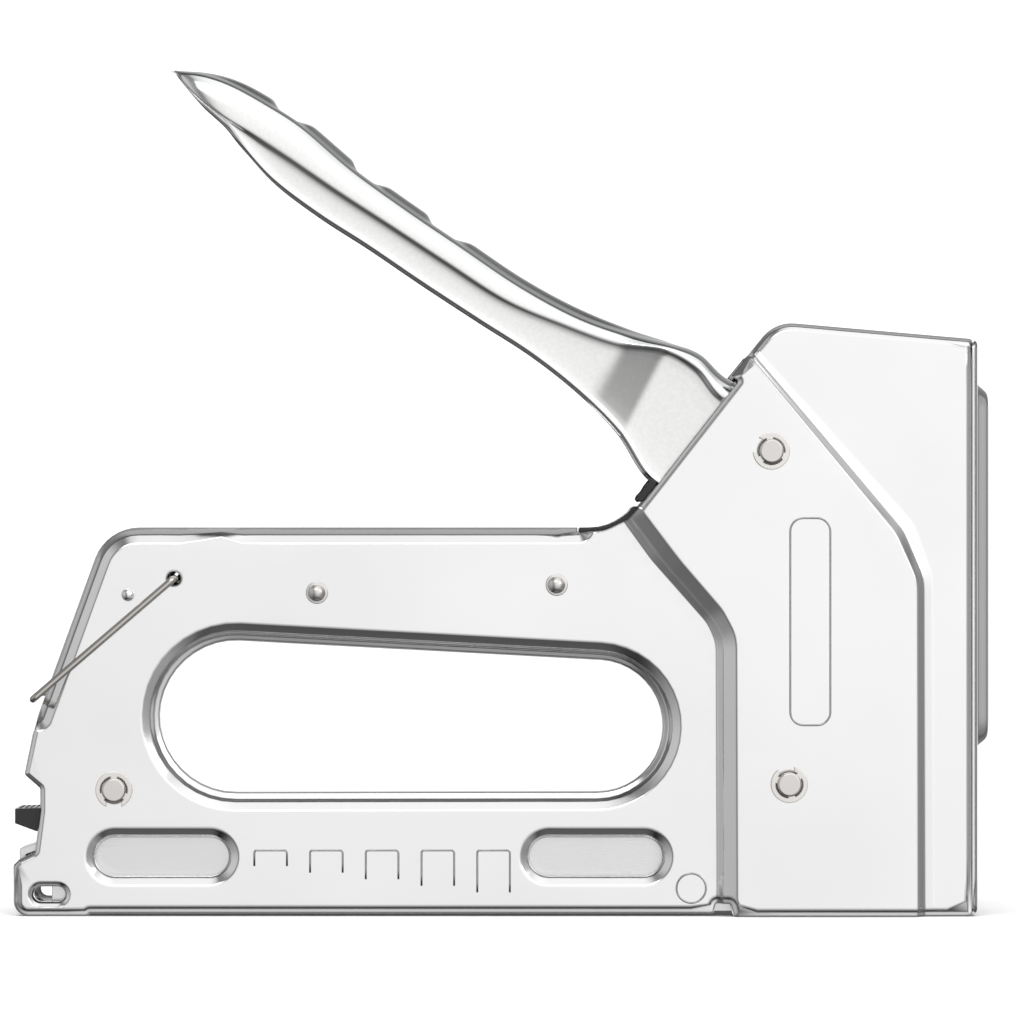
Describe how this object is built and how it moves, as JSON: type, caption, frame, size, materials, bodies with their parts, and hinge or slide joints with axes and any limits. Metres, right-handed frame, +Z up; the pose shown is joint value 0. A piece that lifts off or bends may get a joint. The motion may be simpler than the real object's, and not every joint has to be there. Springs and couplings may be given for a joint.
{
  "type": "staple gun",
  "caption": "Heavy-duty hand staple gun: pressed chrome housing with hand opening, squeeze handle, wire lock bail and rear-loading magazine.",
  "frame": {"origin": "bottom centre of the whole tool's box, on the plane it stands on", "axes": "+X towards the nose, +Z up, XZ the plane of symmetry"},
  "size_m": [0.186, 0.034, 0.1608],
  "materials": {
    "housing_chrome": "bright plated pressed steel",
    "nose_chrome": "bright plated pressed steel",
    "handle_chrome": "bright plated pressed steel, brushed",
    "pin_steel": "turned, zinc plated",
    "clip_steel": "blanked spring steel, plated",
    "channel_steel": "rolled strip, bright",
    "wire_steel": "drawn wire",
    "dark_steel": "hardened, oiled",
    "spring_steel": "tempered wire",
    "black_plastic": "moulded, fine grain",
    "black_rubber": "matt"
  },
  "bodies": {
    "housing": {"right_shell": "housing_chrome", "left_shell": "housing_chrome", "front_plate": "nose_chrome", "pivot_pin": "pin_steel", "nose_pin": "pin_steel", "rear_pin": "pin_steel", "e_clips": "clip_steel", "grip_rivets": "pin_steel", "magazine_channel": "channel_steel", "staple_rail": "channel_steel", "power_spring": "spring_steel", "spring_cap": "dark_steel", "striker_bumper": "black_rubber", "bumper_bracket": "channel_steel", "slot_liner": "black_plastic", "edge_trims": "black_plastic"},
    "handle": {"squeeze_handle": "handle_chrome", "lifter_claw": "dark_steel", "claw_rivet": "pin_steel", "return_spring": "spring_steel"},
    "striker": {"striker_block": "dark_steel", "driver_blade": "dark_steel", "blade_rivets": "pin_steel"},
    "bail": {"lock_bail": "wire_steel"},
    "feed_rod": {"guide_rod": "wire_steel", "feed_plate": "channel_steel", "pusher_knob": "black_plastic", "pusher_spring": "wire_steel"},
    "pusher": {"pusher": "channel_steel"}
  },
  "joints": [
    {"name": "handle_squeeze", "type": "hinge", "parent": "housing", "child": "handle", "pos_m": [0.0511, 0, 0.0885], "axis": [0, -1, 0], "range_deg": [0, 32.5], "stiffness_Nm_per_rad": 4, "springref_deg": -14.32, "deforming": ["return_spring"]},
    {"name": "striker_lift", "type": "slide", "parent": "housing", "child": "striker", "axis": [0, 0, 1], "range_m": [0, 0.0152], "deforming": ["power_spring"]},
    {"name": "bail_swing", "type": "hinge", "parent": "housing", "child": "bail", "pos_m": [-0.0624, 0, 0.0643], "axis": [0, 1, 0], "range_deg": [0, 100]},
    {"name": "feed_rod_pull", "type": "slide", "parent": "housing", "child": "feed_rod", "axis": [-1, 0, 0], "range_m": [0, 0.165]},
    {"name": "pusher_feed", "type": "slide", "parent": "feed_rod", "child": "pusher", "axis": [-1, 0, 0], "range_m": [0, 0.11], "stiffness_N_per_m": 30, "springref_m": -0.04, "deforming": ["pusher_spring"]}
  ],
  "couplings": [
    {"joint": "striker_lift", "follows": "handle_squeeze", "m_per_rad": 0.0266}
  ]
}
